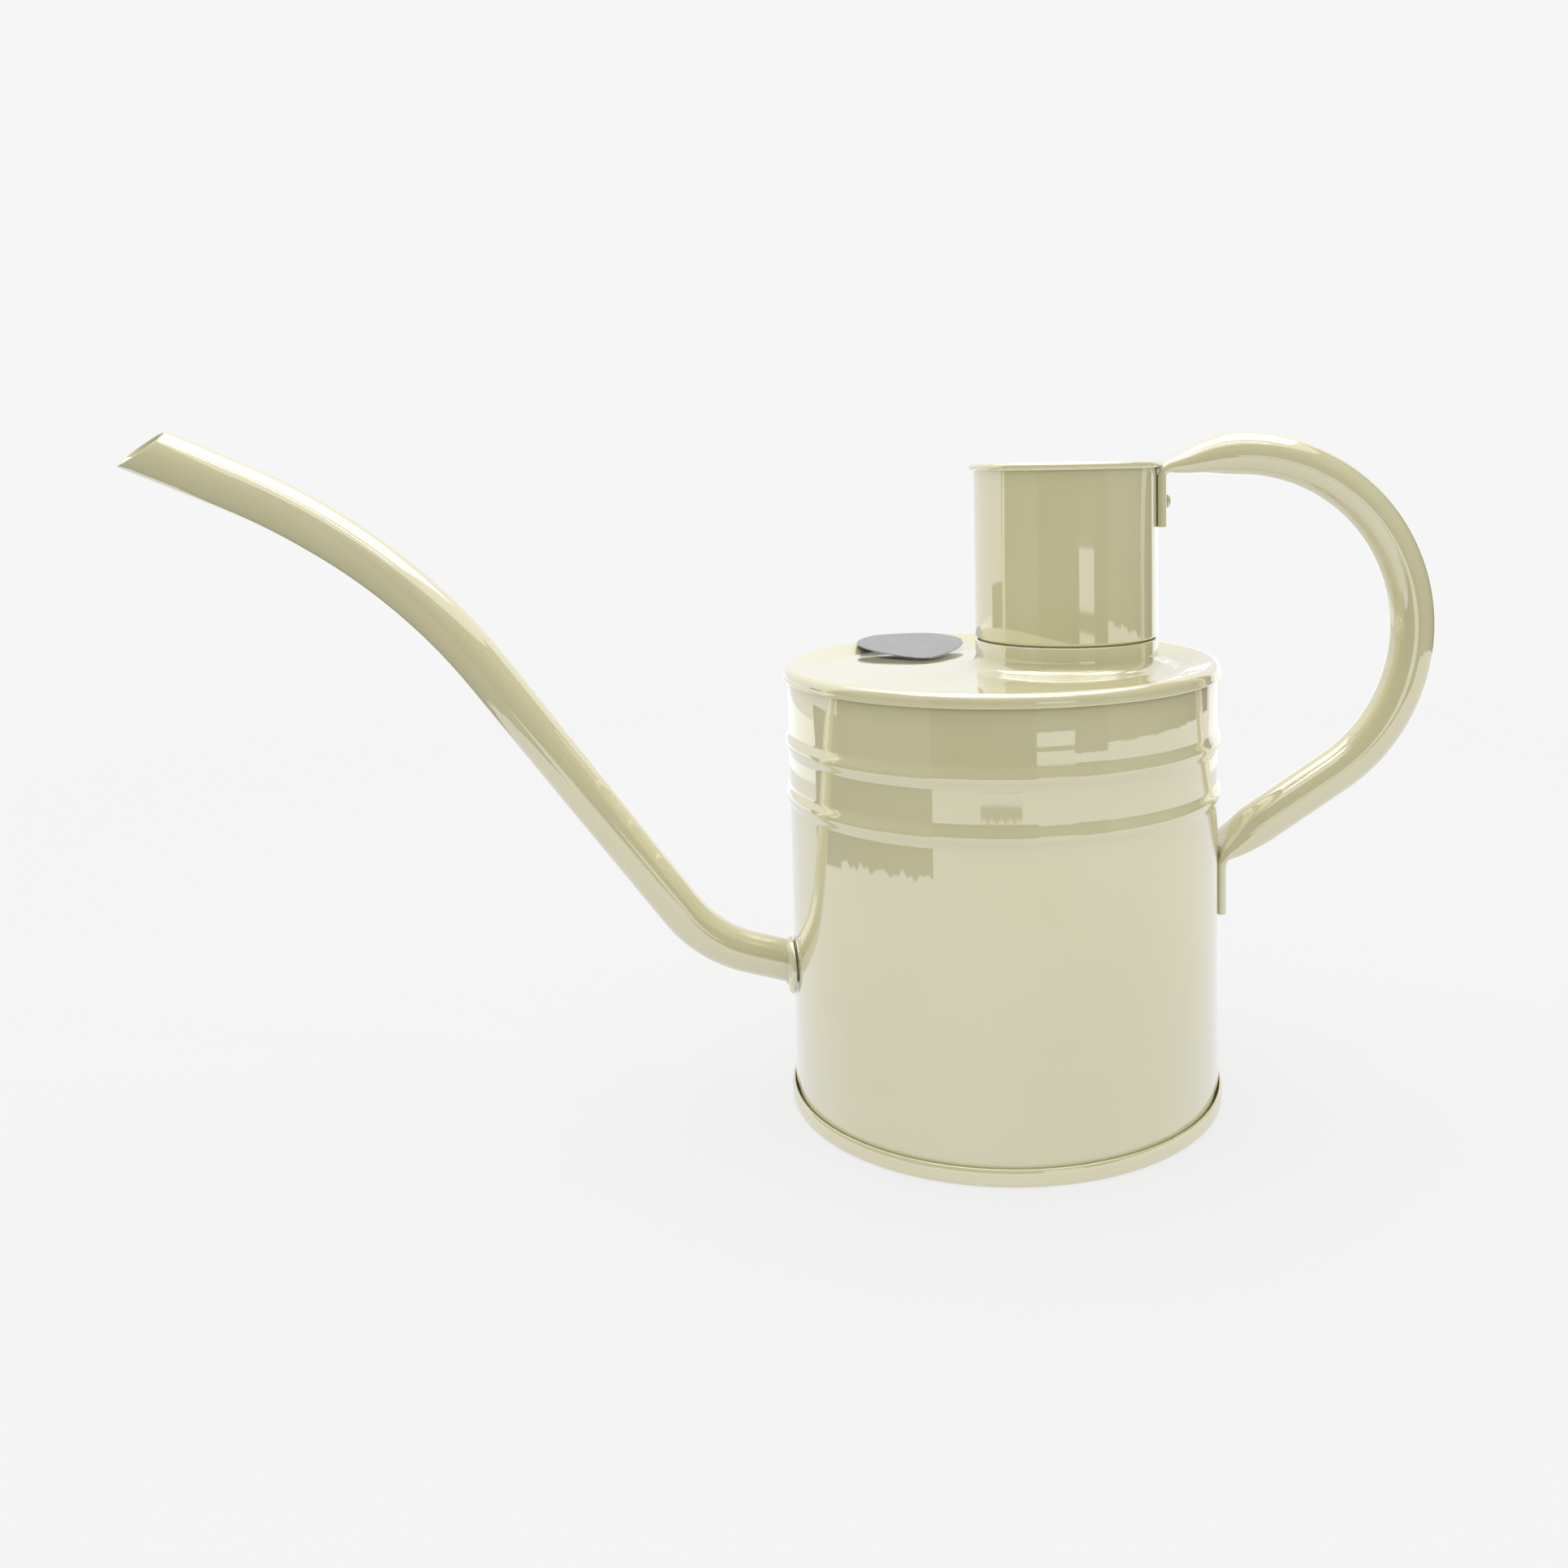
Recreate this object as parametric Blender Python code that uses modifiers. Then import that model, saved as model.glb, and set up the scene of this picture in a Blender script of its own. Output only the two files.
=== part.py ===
"""Indoor watering can: enamelled sheet steel, with a side spout, a filler neck and a tube handle.

The can stands on Z = 0 with the body's axis on the Z axis. The handle is on the +X side and the
spout on the -X side. Every piece is a solid of its own, and pieces that touch keep CLEARANCE.
"""
import math

import bmesh
import bpy
from mathutils import Matrix, Vector

MM = 0.001
NAME = "watering_can"

CLEARANCE = 0.3 * MM                    # left between pieces that touch
SHEET = 0.7 * MM                        # steel sheet of the body, base, lid and neck
FOLD_RADIUS = SHEET + CLEARANCE         # centreline radius of a fold over the wall's edge
CUTTER_REACH = 4 * MM                   # how far a cutter runs past what it cuts

# Body wall
WALL_RADIUS_FOOT = 56.0 * MM            # outside
WALL_TAPER = 0.3 * MM                   # how much less the radius is at the top
RIM_HEIGHT = 114.8 * MM                 # ground to the crest of the lid's rim
BEADS_BELOW_RIM = (19.4 * MM, 33.0 * MM)
BEAD_WIDTH = 6.0 * MM
BEAD_RISE = 0.9 * MM

# Base, folded up round the foot of the wall, and lid, turned down over its top edge
BASE_RECESS = 1.5 * MM
FOOT_FOLD_HEIGHT = 4.6 * MM
FOOT_CORNER = 0.6 * SHEET               # centreline radius between the disc and the fold
RIM_SKIRT_DEPTH = 3.4 * MM
RIM_ROUNDING = 1.7 * MM                 # centreline radius of the rim's crest
RIM_SLOPE = math.radians(18)            # from the crest down to the panel
PANEL_DROP = 2.2 * MM                   # rim crest to the panel's edge
PANEL_CROWN = 0.7 * MM
PANEL_EASE = 5.1 * MM                   # centreline radius between the slope and the panel
PANEL_RINGS = (0.3, 0.65)               # where the panel's rings lie between rim and collar

# Filler neck
NECK_RADIUS = 23.8 * MM                 # outside
NECK_TO_WALL = 14.45 * MM               # neck to the wall's outside, on the handle's side
NECK_HEIGHT = 51.2 * MM                 # lip above the rim
COLLAR_HEIGHT = 7.7 * MM                # above the panel's edge
COLLAR_FILLET = 3.5 * MM
SEAM_GROOVE = 0.5 * MM                  # rise of the neck's step above the collar's edge
SEAM_EASE = 0.5 * MM                    # centreline radius at the groove's corners
SPIGOT_DEPTH = 8.0 * MM
LIP_CURL_RADIUS = 0.6 * MM
LIP_CURL_SWEEP = math.radians(240)

# Spout
SPOUT_HEIGHT = 36.7 * MM                # of its centreline at the wall
SPOUT_TURN = math.radians(6)            # towards the front
SPOUT_DIAMETER_FOOT = 10.6 * MM
SPOUT_FLARE = 2.0 * MM                  # how much wider the tube is at its mouth
SPOUT_WALL = 0.9 * MM
SPOUT_ANGLES = tuple(math.radians(a) for a in (16.8, 54, 24.8))
SPOUT_RUNS = (12.9 * MM, 79.0 * MM, 23.7 * MM)
SPOUT_BENDS = (32.7 * MM, 148.0 * MM)
SPOUT_INSET = 1.2 * MM                  # how far the tube's end stands inside the wall
TIP_CUT_ANGLE = math.radians(38)        # of the mouth off the horizontal
TIP_CUT_TWIST = math.radians(29)        # of the mouth towards the front
FLANGE_MARGINS = (6.4 * MM, 4.0 * MM)   # flange beyond the tube, across and up
FLANGE_DROP = 0.7 * MM                  # of its middle below the tube's middle at the wall
FLANGE_THICKNESS = 1.3 * MM
FLANGE_EDGE = 0.5 * MM                  # thickness at its top and bottom
FLANGE_FLAT = 0.45                      # share of its height at full thickness
FLANGE_OVERRUN = 1.02                   # how far it is turned past its outline, as a share

# Handle, a tube pressed flat at both ends
HANDLE_DIAMETER = 11.3 * MM
HANDLE_WALL = 0.9 * MM
TAB_SLIT = 0.3 * MM                     # between the two layers of the pressed ends
GRIP_RADIUS = 46.3 * MM                 # of the centreline
GRIP_OUT = 6.9 * MM                     # grip's centre of curvature beyond the wall
CORNER_DROP = 1.97 * MM                 # neck's lip down to the corner of the pressed end
UPPER_SLOPE = math.radians(13)
LOWER_SLOPE = math.radians(33.5)
UPPER_TAB_LENGTH = 15.0 * MM
LOWER_TAB_LENGTH = 14.8 * MM
UPPER_TAB_BEND = 3.1 * MM
LOWER_TAB_BEND = 5.0 * MM
UPPER_TAPER = 22.0 * MM                 # from pressed flat to round
LOWER_TAPER = 13.0 * MM
WRAP_FADE = 7.0 * MM                    # from the tab's curve round the can to straight
UPPER_RIVET_PLACE = 0.42                # share of the tab's length from its end
LOWER_RIVET_PLACE = 0.45

# Rivets
RIVET_SHANK = 2.4 * MM
RIVET_HEAD = 3.6 * MM
UPPER_RIVET_HEAD_HEIGHT = 1.3 * MM
LOWER_RIVET_HEAD_HEIGHT = 0.6 * MM
RIVET_TAIL_HEIGHT = 0.8 * MM
RIVET_TAIL_TAPER = 0.8                  # narrow end of the tail as a share of the wide one

# Badge plate, lying on the lid with its back edge over the rim
BADGE_SHARE = 0.616                     # its width in the room between neck and far wall
BADGE_PROPORTION = 1.316                # length to width
BADGE_THICKNESS = 0.5 * MM
BADGE_GAPS = (0.25 * MM, 0.7 * MM)      # clear of the neck's side, and short of the wall's top
BADGE_CORNER_INSET = 3.9 * MM           # widest point inside the wall's outside
BADGE_TURN = math.radians(8)
BADGE_SHAPE = ((0, -1), (0.7, -0.42), (1, 0.32), (0.66, 0.87), (0, 1), (-0.66, 0.87), (-1, 0.32),
               (-0.7, -0.42))           # corners as shares of half the width and half the length

# Mesh fineness
ROUND_STEPS_WALL = 72
ROUND_STEPS_NECK = 48
ROUND_STEPS_RIVET = 20
TUBE_SIDES = 20
SMOOTH_ANGLE = math.radians(35)

# Worked out from the above
WALL_RADIUS_TOP = WALL_RADIUS_FOOT - WALL_TAPER
NECK_OFFSET = WALL_RADIUS_TOP - NECK_RADIUS - NECK_TO_WALL      # neck's axis from the body's
NECK_TOP = RIM_HEIGHT + NECK_HEIGHT
SPOUT_DIAMETER_TIP = SPOUT_DIAMETER_FOOT + SPOUT_FLARE
FLANGE_SIZE = tuple(SPOUT_DIAMETER_FOOT + margin for margin in FLANGE_MARGINS)
TAB_THICKNESS = 2 * HANDLE_WALL + TAB_SLIT
WALL_FOOT_Z = SHEET / 2 + FOLD_RADIUS
WALL_TOP_Z = RIM_HEIGHT - SHEET / 2 - RIM_ROUNDING      # where the lid's rim starts to turn in
PANEL_EDGE_Z = RIM_HEIGHT - PANEL_DROP  # the panel's upper face at its edge
PANEL_NECK_Z = PANEL_EDGE_Z + PANEL_CROWN
COLLAR_TOP_Z = PANEL_EDGE_Z + COLLAR_HEIGHT


def wall_radius(z):
    """Outer radius of the plain wall at height z."""
    share = (z - WALL_FOOT_Z) / (WALL_TOP_Z - WALL_FOOT_Z)
    return WALL_RADIUS_FOOT - WALL_TAPER * share


def linear(srgb):
    """Linear colour from 0-255 sRGB."""
    return [(c / 255 / 12.92) if c < 11 else ((c / 255 + 0.055) / 1.055) ** 2.4 for c in srgb]


def make_material(name, srgb, roughness, metallic):
    """Principled material in one colour."""
    material = bpy.data.materials.new(name)
    material.use_nodes = True
    shader = material.node_tree.nodes["Principled BSDF"]
    shader.inputs["Base Color"].default_value = (*linear(srgb), 1)
    shader.inputs["Roughness"].default_value = roughness
    shader.inputs["Metallic"].default_value = metallic
    return material


def make_collection(name):
    """New collection in the scene."""
    collection = bpy.data.collections.new(name)
    bpy.context.scene.collection.children.link(collection)
    return collection


def place(name, mesh, collection, material=None):
    """New object that holds the mesh."""
    thing = bpy.data.objects.new(name, mesh)
    if material:
        mesh.materials.clear()
        mesh.materials.append(material)
    collection.objects.link(thing)
    return thing


def shade(mesh):
    """Smooth shading with sharp edges at the creases."""
    mesh.shade_smooth()
    mesh.set_sharp_from_angle(angle=SMOOTH_ANGLE)


def rounded(corners, segments=3):
    """Polyline through (r, z, fillet radius) corners, with arcs for the fillets."""
    points = [Vector(corners[0][:2])]
    for before, corner, after in zip(corners, corners[1:], corners[2:]):
        middle, radius = Vector(corner[:2]), corner[2]
        towards = (Vector(before[:2]) - middle).normalized()
        onwards = (Vector(after[:2]) - middle).normalized()
        if radius == 0:
            points.append(middle)
            continue
        half = towards.angle(onwards) / 2
        start = middle + towards * (radius / math.tan(half))
        centre = middle + (towards + onwards).normalized() * (radius / math.sin(half))
        sweep = (math.pi - 2 * half) * (1 if towards.cross(onwards) < 0 else -1)
        for i in range(segments + 1):
            turn = Matrix.Rotation(sweep * i / segments, 2)
            points.append(centre + turn @ (start - centre))
    points.append(Vector(corners[-1][:2]))
    return points


def sheet_section(line, thickness):
    """Closed outline of a sheet of the given thickness along a centreline in (r, z)."""
    sides = ([], [])
    for i, point in enumerate(line):
        back = (point - line[i - 1]).normalized() if i else (line[1] - point).normalized()
        ahead = (line[i + 1] - point).normalized() if i + 1 < len(line) else back
        normal = Vector((-(back + ahead).y, (back + ahead).x)).normalized()
        reach = thickness / 2 / max(0.5, normal.dot(Vector((-back.y, back.x))))
        sides[0].append(point + normal * reach)
        sides[1].append(point - normal * reach)
    return sides[0] + sides[1][::-1]


def close_normals(work, mesh):
    """Turn the faces outwards and store the mesh."""
    bmesh.ops.recalc_face_normals(work, faces=work.faces)
    if work.calc_volume(signed=True) < 0:
        bmesh.ops.reverse_faces(work, faces=work.faces)
    work.to_mesh(mesh)
    work.free()
    shade(mesh)
    return mesh


def turned(name, section, steps, collection, material, closed=True):
    """Solid turned round its own Z axis from a section in (r, z), by a Screw modifier."""
    profile = bpy.data.meshes.new(name + "_profile")
    count = len(section)
    edges = [(i, (i + 1) % count) for i in range(count if closed else count - 1)]
    profile.from_pydata([(p.x, 0, p.y) for p in section], edges, [])
    spun = place(name, profile, collection)
    screw = spun.modifiers.new("turn", "SCREW")
    screw.steps = screw.render_steps = steps
    screw.use_merge_vertices = True
    screw.merge_threshold = 0.01 * MM
    mesh = bpy.data.meshes.new_from_object(spun.evaluated_get(bpy.context.evaluated_depsgraph_get()))
    bpy.data.objects.remove(spun)
    work = bmesh.new()
    work.from_mesh(mesh)
    return place(name, close_normals(work, mesh), collection, material)


def ring_solid(name, rings, collection, material):
    """Solid skinned through a closed loop of rings of points."""
    work = bmesh.new()
    loops = [[work.verts.new(point) for point in ring] for ring in rings]
    for loop, following in zip(loops, loops[1:] + loops[:1]):
        for i in range(len(loop)):
            j = (i + 1) % len(loop)
            work.faces.new((loop[i], loop[j], following[j], following[i]))
    return place(name, close_normals(work, bpy.data.meshes.new(name)), collection, material)


def boolean(target, cutter, operation="DIFFERENCE"):
    """Live Boolean that leaves the cutter in place."""
    modifier = target.modifiers.new(operation.lower() + "_" + cutter.name, "BOOLEAN")
    modifier.operation = operation
    modifier.object = cutter


def cylinder_cutter(name, radius, start, end, steps, collection):
    """Plain cylinder between two points, in the cutters' collection."""
    work = bmesh.new()
    length = (end - start).length
    bmesh.ops.create_cone(work, cap_ends=True, segments=steps, radius1=radius, radius2=radius, depth=length)
    mesh = bpy.data.meshes.new(name)
    work.to_mesh(mesh)
    work.free()
    cutter = place(name, mesh, collection)
    cutter.location = (start + end) / 2
    cutter.rotation_euler = (end - start).to_track_quat("Z", "Y").to_euler()
    cutter.display_type = "WIRE"
    return cutter


def make_body_shell(parts, enamel):
    """Wall with two pressed beads round it."""
    heights = [WALL_FOOT_Z]
    half = BEAD_WIDTH / 2
    for drop in sorted(BEADS_BELOW_RIM, reverse=True):
        crest = RIM_HEIGHT - drop
        heights += [crest + half * t for t in (-1, -0.7, -0.35, 0, 0.35, 0.7, 1)]
    heights.append(WALL_TOP_Z)

    def bulge(z):
        nearest = min(abs(z - (RIM_HEIGHT - drop)) for drop in BEADS_BELOW_RIM)
        return BEAD_RISE * (1 + math.cos(math.pi * min(1, nearest / half))) / 2

    line = [Vector((wall_radius(z) - SHEET / 2 + bulge(z), z)) for z in heights]
    return turned("body_shell", sheet_section(line, SHEET), ROUND_STEPS_WALL, parts, enamel)


def make_base_plate(parts, enamel):
    """Disc with its edge folded up round the foot of the wall."""
    disc_z = BASE_RECESS + SHEET / 2
    inner = WALL_RADIUS_FOOT - SHEET * 1.5 - CLEARANCE
    outer = inner + 2 * FOLD_RADIUS
    line = rounded([(0, disc_z, 0), (inner, disc_z, FOOT_CORNER), (inner, SHEET / 2, FOLD_RADIUS),
                    (outer, SHEET / 2, FOLD_RADIUS), (outer, FOOT_FOLD_HEIGHT, 0)])
    section = sheet_section(line, SHEET)
    return turned("base_plate", section, ROUND_STEPS_WALL, parts, enamel, closed=False)


def make_top_plate(parts, enamel):
    """Lid: skirt, rounded rim, sunk panel and a collar drawn up off centre for the neck."""
    outer = WALL_RADIUS_TOP + CLEARANCE + SHEET / 2
    edge_z = PANEL_EDGE_Z - SHEET / 2
    crest_z = RIM_HEIGHT - SHEET / 2
    corner_z = crest_z + RIM_ROUNDING * (math.tan(RIM_SLOPE) + 1 / math.cos(RIM_SLOPE) - 1)
    panel_edge = outer - (corner_z - edge_z) / math.tan(RIM_SLOPE)
    neck_z = PANEL_NECK_Z - SHEET / 2
    collar = NECK_RADIUS - SHEET / 2
    rim = rounded([(outer, RIM_HEIGHT - RIM_SKIRT_DEPTH, 0), (outer, corner_z, RIM_ROUNDING),
                   (panel_edge, edge_z, PANEL_EASE), (panel_edge - RIM_ROUNDING, edge_z, 0)], 5)
    fillet_edge = collar + COLLAR_FILLET
    spread = [Vector((rim[-1].x + (fillet_edge - rim[-1].x) * t, edge_z + (neck_z - edge_z) * t))
              for t in PANEL_RINGS]
    top = rounded([(fillet_edge + SHEET, neck_z, 0), (collar, neck_z, COLLAR_FILLET),
                   (collar, COLLAR_TOP_Z, 0)], 5)[1:]
    line = rim + spread + top
    shift = [0] * len(rim) + [NECK_OFFSET * t for t in PANEL_RINGS] + [NECK_OFFSET] * len(top)
    section = sheet_section(line, SHEET)
    angles = [2 * math.pi * i / ROUND_STEPS_WALL for i in range(ROUND_STEPS_WALL)]
    rings = [[(centre + point.x * math.cos(a), point.x * math.sin(a), point.y) for a in angles]
             for point, centre in zip(section, shift + shift[::-1])]
    return ring_solid("top_plate", rings, parts, enamel)


def make_filler_neck(parts, enamel):
    """Neck: spigot inside the collar, groove, straight tube and curled lip."""
    tube = NECK_RADIUS - SHEET / 2
    spigot = tube - SHEET - CLEARANCE
    curl_z = NECK_TOP - SHEET / 2 - LIP_CURL_RADIUS
    curl_r = tube + LIP_CURL_RADIUS
    step_z = COLLAR_TOP_Z + CLEARANCE
    line = rounded([(spigot, COLLAR_TOP_Z - SPIGOT_DEPTH, 0), (spigot, step_z, SEAM_EASE),
                    (tube, step_z + SEAM_GROOVE, SEAM_EASE), (tube, curl_z - 2 * SHEET, 0)])
    for i in range(9):
        angle = math.pi - LIP_CURL_SWEEP * i / 8
        line.append(Vector((curl_r + LIP_CURL_RADIUS * math.cos(angle),
                            curl_z + LIP_CURL_RADIUS * math.sin(angle))))
    neck = turned("filler_neck", sheet_section(line, SHEET), ROUND_STEPS_NECK, parts, enamel)
    neck.location.x = NECK_OFFSET
    return neck


def walk(start, heading, steps):
    """Points and directions along runs (length, 0, count) and bends (radius, change, count)."""
    points, directions = [start.copy()], [heading]
    for size, change, count in steps:
        for _ in range(count):
            if change == 0:
                start = start + Vector((math.cos(heading), math.sin(heading))) * (size / count)
            else:
                turn = change / count
                chord = 2 * size * math.sin(abs(turn) / 2)
                middle = heading + turn / 2
                start = start + Vector((math.cos(middle), math.sin(middle))) * chord
                heading += turn
            points.append(start)
            directions.append(heading)
    return points, directions


def distances(points):
    """Running length along a polyline."""
    total, lengths = 0, [0]
    for a, b in zip(points, points[1:]):
        total += (b - a).length
        lengths.append(total)
    return lengths


def tube_solid(name, centres, directions, shape, bend, collection, material):
    """Hollow tube skinned along a flat route.

    shape(i, inner) gives the section's (across, up) points, and bend(i, point) moves one of them.
    """
    outside, inside = [], []
    for i, (centre, heading) in enumerate(zip(centres, directions)):
        normal = Vector((-math.sin(heading), 0, math.cos(heading)))
        middle = Vector((centre.x, 0, centre.y))
        for rings, inner in ((outside, False), (inside, True)):
            rings.append([middle + normal * up + Vector((0, across, 0)) for across, up in shape(i, inner)])
    outside, inside = ([[bend(i, point) for point in ring] for i, ring in enumerate(rings)]
                       for rings in (outside, inside))
    return ring_solid(name, outside + inside[::-1], collection, material)


def spout_foot():
    """Where the spout's centreline starts, inside the wall, as (distance from axis, z)."""
    start = wall_radius(SPOUT_HEIGHT) - SHEET - SPOUT_INSET
    return Vector((start, SPOUT_HEIGHT - (WALL_RADIUS_FOOT - start) * math.tan(SPOUT_ANGLES[0])))


def make_spout_tube(parts, cutters, enamel):
    """Bent tube, a little wider at its mouth, with the mouth cut at a slant."""
    low, high, mouth = SPOUT_ANGLES
    overrun = SPOUT_DIAMETER_TIP
    steps = ((SPOUT_RUNS[0] + SPOUT_INSET, 0, 2), (SPOUT_BENDS[0], high - low, 9), (SPOUT_RUNS[1], 0, 4),
             (SPOUT_BENDS[1], mouth - high, 10), (SPOUT_RUNS[2], 0, 2))
    centres, directions = walk(spout_foot(), low, steps)
    tip, heading = centres[-1], directions[-1]
    centres.append(tip + Vector((math.cos(heading), math.sin(heading))) * overrun)
    directions.append(heading)
    along = distances(centres)

    def shape(i, inner):
        share = min(1, along[i] / along[-2])
        radius = (SPOUT_DIAMETER_FOOT + (SPOUT_DIAMETER_TIP - SPOUT_DIAMETER_FOOT) * share) / 2
        radius -= SPOUT_WALL if inner else 0
        angles = [2 * math.pi * k / TUBE_SIDES for k in range(TUBE_SIDES)]
        return [(radius * math.cos(a), radius * math.sin(a)) for a in angles]

    spout = tube_solid("spout_tube", centres, directions, shape, lambda i, point: point, parts, enamel)
    spout.rotation_euler.z = math.pi + SPOUT_TURN

    size = 4 * SPOUT_DIAMETER_TIP
    work = bmesh.new()
    bmesh.ops.create_cube(work, size=size)
    bmesh.ops.translate(work, verts=work.verts, vec=(0, 0, size / 2))
    mesh = bpy.data.meshes.new("mouth_cutter")
    work.to_mesh(mesh)
    work.free()
    cutter = place("mouth_cutter", mesh, cutters)
    cutter.display_type = "WIRE"
    facing = (Matrix.Rotation(math.pi + SPOUT_TURN + TIP_CUT_TWIST, 3, "Z")
              @ Vector((math.sin(TIP_CUT_ANGLE), 0, math.cos(TIP_CUT_ANGLE))))
    cutter.rotation_euler = facing.to_track_quat("Z", "Y").to_euler()
    cutter.location = Matrix.Rotation(math.pi + SPOUT_TURN, 3, "Z") @ Vector((tip.x, 0, tip.y))
    boolean(spout, cutter)
    return spout


def make_spout_hole_cutter(cutters):
    """Clearance hole round the spout's foot, through the wall and the flange."""
    foot = spout_foot()
    aim = Matrix.Rotation(math.pi + SPOUT_TURN, 3, "Z")
    along = Vector((math.cos(SPOUT_ANGLES[0]), 0, math.sin(SPOUT_ANGLES[0])))
    start = Vector((foot.x, 0, foot.y)) - along * CUTTER_REACH
    end = Vector((foot.x, 0, foot.y)) + along * (SPOUT_INSET + CUTTER_REACH + 2 * FLANGE_THICKNESS)
    growth = SPOUT_FLARE / 2 * (SPOUT_INSET + CUTTER_REACH) / sum(SPOUT_RUNS)
    radius = SPOUT_DIAMETER_FOOT / 2 + CLEARANCE + growth
    return cylinder_cutter("spout_hole_cutter", radius, aim @ start, aim @ end, 2 * TUBE_SIDES, cutters)


def make_spout_flange(parts, cutters, enamel, hole):
    """Oval plate that hugs the wall round the spout's foot."""
    middle_z = SPOUT_HEIGHT - FLANGE_DROP
    half = FLANGE_SIZE[1] / 2
    inner = wall_radius(middle_z - half) + CLEARANCE
    outer = inner + FLANGE_THICKNESS
    edge = inner + FLANGE_EDGE
    flat, end = half * FLANGE_FLAT, half * FLANGE_OVERRUN
    section = [Vector((r, middle_z + up)) for r, up in (
        (edge, end), (outer, flat), (outer, -flat), (edge, -end), (inner, -end), (inner, end))]
    flange = turned("spout_flange", section, 2 * ROUND_STEPS_WALL, parts, enamel)
    work = bmesh.new()
    depth = 2 * CUTTER_REACH + 4 * FLANGE_THICKNESS
    bmesh.ops.create_cone(work, cap_ends=True, segments=2 * TUBE_SIDES, radius1=0.5, radius2=0.5,
                          depth=depth)
    mesh = bpy.data.meshes.new("flange_outline")
    work.to_mesh(mesh)
    work.free()
    outline = place("flange_outline", mesh, cutters)
    outline.display_type = "WIRE"
    outline.scale = (FLANGE_SIZE[1], FLANGE_SIZE[0], 1)
    outline.rotation_euler = (0, math.pi / 2, math.pi + SPOUT_TURN)
    outline.location = Matrix.Rotation(math.pi + SPOUT_TURN, 3, "Z") @ Vector((outer, 0, middle_z))
    boolean(flange, outline, "INTERSECT")
    boolean(flange, hole)
    return flange


def handle_route():
    """Centreline of the handle, upper tab end to lower tab end, with what each part needs."""
    upper_x = NECK_OFFSET + NECK_RADIUS + CLEARANCE + TAB_THICKNESS / 2
    upper_z = NECK_TOP - CORNER_DROP
    grip_x = WALL_RADIUS_FOOT + GRIP_OUT
    top_x = grip_x - GRIP_RADIUS * math.sin(UPPER_SLOPE)
    bend_up = math.pi / 2 - UPPER_SLOPE
    upper_cut = UPPER_TAB_BEND * math.tan(bend_up / 2)
    start = Vector((upper_x, upper_z - UPPER_TAB_LENGTH))
    sweep = UPPER_SLOPE + math.pi - LOWER_SLOPE
    bottom_x = grip_x + GRIP_RADIUS * math.sin(LOWER_SLOPE)
    lower_x = WALL_RADIUS_FOOT + CLEARANCE + TAB_THICKNESS / 2
    lower_run = (bottom_x - lower_x) / math.cos(LOWER_SLOPE)
    bend_down = math.pi / 2 - LOWER_SLOPE
    lower_cut = LOWER_TAB_BEND * math.tan(bend_down / 2)
    upper_run = (top_x - upper_x) / math.cos(UPPER_SLOPE)
    steps = ((UPPER_TAB_LENGTH - upper_cut, 0, 2), (UPPER_TAB_BEND, -bend_up, 4),
             (upper_run - upper_cut, 0, 4), (GRIP_RADIUS, -sweep, 24), (lower_run - lower_cut, 0, 5),
             (LOWER_TAB_BEND, bend_down, 4), (LOWER_TAB_LENGTH - lower_cut, 0, 2))
    centres, directions = walk(start, math.pi / 2, steps)
    along = distances(centres)
    upper_end = UPPER_TAB_LENGTH - upper_cut + UPPER_TAB_BEND * bend_up / 2
    lower_end = along[-1] - (LOWER_TAB_LENGTH - lower_cut + LOWER_TAB_BEND * bend_down / 2)
    return centres, directions, along, upper_end, lower_end


def make_handle_tube(parts, enamel):
    """Tube pressed flat at both ends, which curve round the neck and the wall."""
    centres, directions, along, upper_end, lower_end = handle_route()
    girth = math.pi * HANDLE_DIAMETER
    pressed_flat = (girth - math.pi * TAB_THICKNESS) / 2
    step = 2 * math.pi / TUBE_SIDES
    upper_hug = NECK_RADIUS + CLEARANCE + TAB_THICKNESS / 2
    lower_hug = WALL_RADIUS_FOOT + CLEARANCE + TAB_THICKNESS / 2

    def thickness(i):
        past = max(0, min((along[i] - upper_end) / UPPER_TAPER, (lower_end - along[i]) / LOWER_TAPER, 1))
        return TAB_THICKNESS + (HANDLE_DIAMETER - TAB_THICKNESS) * math.sin(math.pi / 2 * past)

    def shape(i, inner):
        outer = thickness(i)
        flat = (girth - math.pi * outer) / 2
        pressed = flat / pressed_flat
        radius = outer / 2 - (HANDLE_WALL if inner else 0)
        sweep = step * (3 + (TUBE_SIDES / 4 - 3) * pressed)
        points = []
        for side in (1, -1):
            for k in (-3, -2, -1, 0, 1, 2, 3):
                angle = side * sweep * k / 3
                points.append((side * (flat / 2 + radius * math.cos(angle)), radius * math.sin(angle)))
            for k in (-1, 0, 1):
                lean = step * (1 - pressed) * k
                points.append((-side * (flat / 4 * k + radius * math.sin(lean)),
                               side * radius * math.cos(lean)))
        return points

    def hug(i, point):
        upper = max(0, 1 - max(0, along[i] - upper_end) / WRAP_FADE)
        lower = max(0, 1 - max(0, lower_end - along[i]) / WRAP_FADE)
        radius, share = (upper_hug, upper) if upper > lower else (lower_hug, lower)
        back = radius - math.sqrt(radius ** 2 - point.y ** 2)
        return point - Vector((back * share, 0, 0))

    return tube_solid("handle_tube", centres, directions, shape, hug, parts, enamel)


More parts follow.
